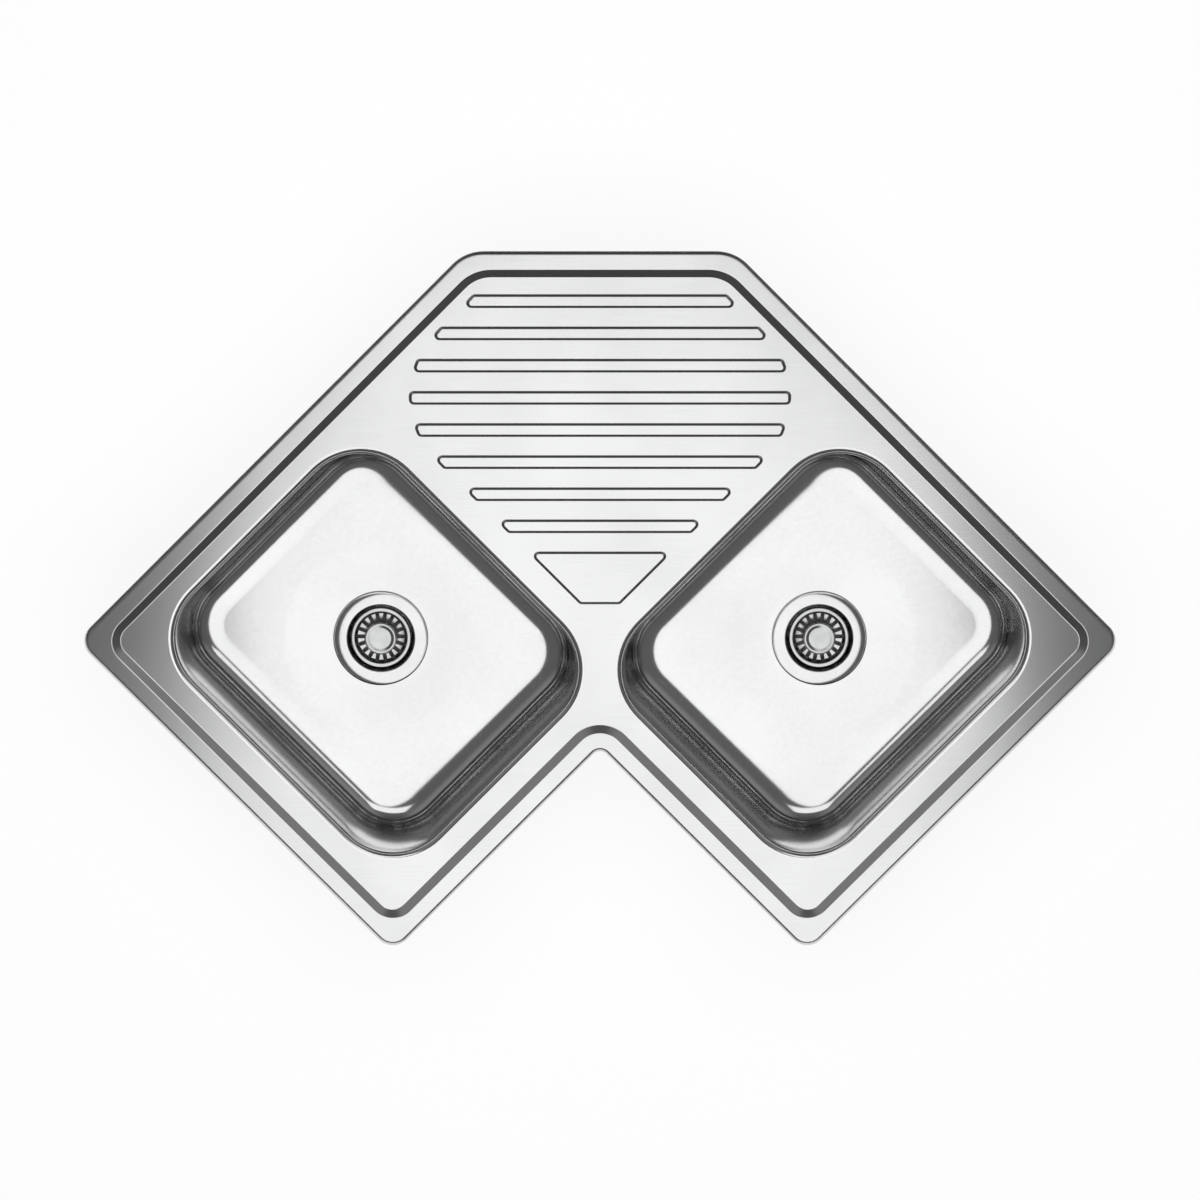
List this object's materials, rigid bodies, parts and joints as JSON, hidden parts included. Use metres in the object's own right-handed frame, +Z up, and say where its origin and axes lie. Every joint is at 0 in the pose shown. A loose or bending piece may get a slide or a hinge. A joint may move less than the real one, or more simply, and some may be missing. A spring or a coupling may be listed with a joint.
{
  "type": "corner kitchen sink",
  "caption": "Stainless corner sink: two bowls on angled legs either side of a ribbed drainer, with lift-out strainer wastes and worktop clips.",
  "frame": {"origin": "on the seal strip's lower face, at the middle of the straight back edge, level with the worktop's surface", "axes": "+Y points into the corner of the room, +Z is up, +X is to the right for someone who stands at the sink"},
  "size_m": [1.1556, 0.7813, 0.2505],
  "materials": {
    "brushed_sheet": "fine brushed stainless",
    "bowl_sheet": "satin drawn stainless",
    "foam_strip": "closed-cell foam",
    "sound_pad": "matt bitumen sheet",
    "galvanised_rail": "zinc plated strip",
    "galvanised_bracket": "zinc plated pressing",
    "foot_steel": "zinc plated",
    "polished_steel": "polished stainless",
    "basket_steel": "polished stainless pressing",
    "black_rubber": "smooth moulded rubber",
    "white_plastic": "moulded polypropylene",
    "plated_screw": "bright zinc plated"
  },
  "bodies": {
    "sink": {"sink_top": "brushed_sheet", "bowl_left": "bowl_sheet", "bowl_right": "bowl_sheet", "rim_seal": "foam_strip", "sound_pad_left": "sound_pad", "sound_pad_right": "sound_pad", "clip_rails": "galvanised_rail", "clip_brackets": "galvanised_bracket", "waste_flange_left": "polished_steel", "waste_seal_upper_left": "black_rubber", "waste_seal_lower_left": "black_rubber", "waste_body_left": "white_plastic", "centre_screw_left": "plated_screw", "waste_flange_right": "polished_steel", "waste_seal_upper_right": "black_rubber", "waste_seal_lower_right": "black_rubber", "waste_body_right": "white_plastic", "centre_screw_right": "plated_screw"},
    "left_stopper": {"strainer_stopper_left": "black_rubber", "strainer_stem_left": "plated_screw"},
    "left_basket": {"strainer_basket_left": "basket_steel", "strainer_knob_left": "polished_steel"},
    "right_stopper": {"strainer_stopper_right": "black_rubber", "strainer_stem_right": "plated_screw"},
    "right_basket": {"strainer_basket_right": "basket_steel", "strainer_knob_right": "polished_steel"},
    "foot_1": {"clip_foot_1": "foot_steel"},
    "screw_1": {"clip_screw_1": "plated_screw"},
    "foot_2": {"clip_foot_2": "foot_steel"},
    "screw_2": {"clip_screw_2": "plated_screw"},
    "foot_3": {"clip_foot_3": "foot_steel"},
    "screw_3": {"clip_screw_3": "plated_screw"},
    "foot_4": {"clip_foot_4": "foot_steel"},
    "screw_4": {"clip_screw_4": "plated_screw"},
    "foot_5": {"clip_foot_5": "foot_steel"},
    "screw_5": {"clip_screw_5": "plated_screw"},
    "foot_6": {"clip_foot_6": "foot_steel"},
    "screw_6": {"clip_screw_6": "plated_screw"},
    "foot_7": {"clip_foot_7": "foot_steel"},
    "screw_7": {"clip_screw_7": "plated_screw"},
    "foot_8": {"clip_foot_8": "foot_steel"},
    "screw_8": {"clip_screw_8": "plated_screw"},
    "foot_9": {"clip_foot_9": "foot_steel"},
    "screw_9": {"clip_screw_9": "plated_screw"},
    "foot_10": {"clip_foot_10": "foot_steel"},
    "screw_10": {"clip_screw_10": "plated_screw"},
    "foot_11": {"clip_foot_11": "foot_steel"},
    "screw_11": {"clip_screw_11": "plated_screw"},
    "foot_12": {"clip_foot_12": "foot_steel"},
    "screw_12": {"clip_screw_12": "plated_screw"}
  },
  "joints": [
    {"name": "left_strainer_lift", "type": "slide", "parent": "sink", "child": "left_stopper", "axis": [0, 0, 1], "range_m": [0, 0.2]},
    {"name": "left_basket_turn", "type": "hinge", "parent": "left_stopper", "child": "left_basket", "pos_m": [-0.25102, -0.44275, -0.17], "axis": [0, 0, 1], "continuous": true},
    {"name": "right_strainer_lift", "type": "slide", "parent": "sink", "child": "right_stopper", "axis": [0, 0, 1], "range_m": [0, 0.2]},
    {"name": "right_basket_turn", "type": "hinge", "parent": "right_stopper", "child": "right_basket", "pos_m": [0.25102, -0.44275, -0.17], "axis": [0, 0, 1], "continuous": true},
    {"name": "clip_foot_1_lift", "type": "slide", "parent": "sink", "child": "foot_1", "axis": [0, 0, 1], "range_m": [0, 0.015]},
    {"name": "clip_screw_1_turn", "type": "hinge", "parent": "foot_1", "child": "screw_1", "pos_m": [0.09, -0.002, -0.06], "axis": [0, 0, 1], "continuous": true},
    {"name": "clip_foot_2_lift", "type": "slide", "parent": "sink", "child": "foot_2", "axis": [0, 0, 1], "range_m": [0, 0.015]},
    {"name": "clip_screw_2_turn", "type": "hinge", "parent": "foot_2", "child": "screw_2", "pos_m": [-0.09, -0.002, -0.06], "axis": [0, 0, 1], "continuous": true},
    {"name": "clip_foot_3_lift", "type": "slide", "parent": "sink", "child": "foot_3", "axis": [0, 0, 1], "range_m": [0, 0.015]},
    {"name": "clip_screw_3_turn", "type": "hinge", "parent": "foot_3", "child": "screw_3", "pos_m": [-0.22523, -0.08179, -0.06], "axis": [0, 0, 1], "continuous": true},
    {"name": "clip_foot_4_lift", "type": "slide", "parent": "sink", "child": "foot_4", "axis": [0, 0, 1], "range_m": [0, 0.015]},
    {"name": "clip_screw_4_turn", "type": "hinge", "parent": "foot_4", "child": "screw_4", "pos_m": [-0.44368, -0.30024, -0.06], "axis": [0, 0, 1], "continuous": true},
    {"name": "clip_foot_5_lift", "type": "slide", "parent": "sink", "child": "foot_5", "axis": [0, 0, 1], "range_m": [0, 0.015]},
    {"name": "clip_screw_5_turn", "type": "hinge", "parent": "foot_5", "child": "screw_5", "pos_m": [-0.4872, -0.51204, -0.06], "axis": [0, 0, 1], "continuous": true},
    {"name": "clip_foot_6_lift", "type": "slide", "parent": "sink", "child": "foot_6", "axis": [0, 0, 1], "range_m": [0, 0.015]},
    {"name": "clip_screw_6_turn", "type": "hinge", "parent": "foot_6", "child": "screw_6", "pos_m": [-0.31749, -0.68175, -0.06], "axis": [0, 0, 1], "continuous": true},
    {"name": "clip_foot_7_lift", "type": "slide", "parent": "sink", "child": "foot_7", "axis": [0, 0, 1], "range_m": [0, 0.015]},
    {"name": "clip_screw_7_turn", "type": "hinge", "parent": "foot_7", "child": "screw_7", "pos_m": [-0.12445, -0.657, -0.06], "axis": [0, 0, 1], "continuous": true},
    {"name": "clip_foot_8_lift", "type": "slide", "parent": "sink", "child": "foot_8", "axis": [0, 0, 1], "range_m": [0, 0.015]},
    {"name": "clip_screw_8_turn", "type": "hinge", "parent": "foot_8", "child": "screw_8", "pos_m": [0.12445, -0.657, -0.06], "axis": [0, 0, 1], "continuous": true},
    {"name": "clip_foot_9_lift", "type": "slide", "parent": "sink", "child": "foot_9", "axis": [0, 0, 1], "range_m": [0, 0.015]},
    {"name": "clip_screw_9_turn", "type": "hinge", "parent": "foot_9", "child": "screw_9", "pos_m": [0.31749, -0.68175, -0.06], "axis": [0, 0, 1], "continuous": true},
    {"name": "clip_foot_10_lift", "type": "slide", "parent": "sink", "child": "foot_10", "axis": [0, 0, 1], "range_m": [0, 0.015]},
    {"name": "clip_screw_10_turn", "type": "hinge", "parent": "foot_10", "child": "screw_10", "pos_m": [0.4872, -0.51204, -0.06], "axis": [0, 0, 1], "continuous": true},
    {"name": "clip_foot_11_lift", "type": "slide", "parent": "sink", "child": "foot_11", "axis": [0, 0, 1], "range_m": [0, 0.015]},
    {"name": "clip_screw_11_turn", "type": "hinge", "parent": "foot_11", "child": "screw_11", "pos_m": [0.44368, -0.30024, -0.06], "axis": [0, 0, 1], "continuous": true},
    {"name": "clip_foot_12_lift", "type": "slide", "parent": "sink", "child": "foot_12", "axis": [0, 0, 1], "range_m": [0, 0.015]},
    {"name": "clip_screw_12_turn", "type": "hinge", "parent": "foot_12", "child": "screw_12", "pos_m": [0.22523, -0.08179, -0.06], "axis": [0, 0, 1], "continuous": true}
  ],
  "couplings": [
    {"joint": "clip_screw_1_turn", "follows": "clip_foot_1_lift", "rad_per_m": 7854},
    {"joint": "clip_screw_2_turn", "follows": "clip_foot_2_lift", "rad_per_m": 7854},
    {"joint": "clip_screw_3_turn", "follows": "clip_foot_3_lift", "rad_per_m": 7854},
    {"joint": "clip_screw_4_turn", "follows": "clip_foot_4_lift", "rad_per_m": 7854},
    {"joint": "clip_screw_5_turn", "follows": "clip_foot_5_lift", "rad_per_m": 7854},
    {"joint": "clip_screw_6_turn", "follows": "clip_foot_6_lift", "rad_per_m": 7854},
    {"joint": "clip_screw_7_turn", "follows": "clip_foot_7_lift", "rad_per_m": 7854},
    {"joint": "clip_screw_8_turn", "follows": "clip_foot_8_lift", "rad_per_m": 7854},
    {"joint": "clip_screw_9_turn", "follows": "clip_foot_9_lift", "rad_per_m": 7854},
    {"joint": "clip_screw_10_turn", "follows": "clip_foot_10_lift", "rad_per_m": 7854},
    {"joint": "clip_screw_11_turn", "follows": "clip_foot_11_lift", "rad_per_m": 7854},
    {"joint": "clip_screw_12_turn", "follows": "clip_foot_12_lift", "rad_per_m": 7854}
  ]
}
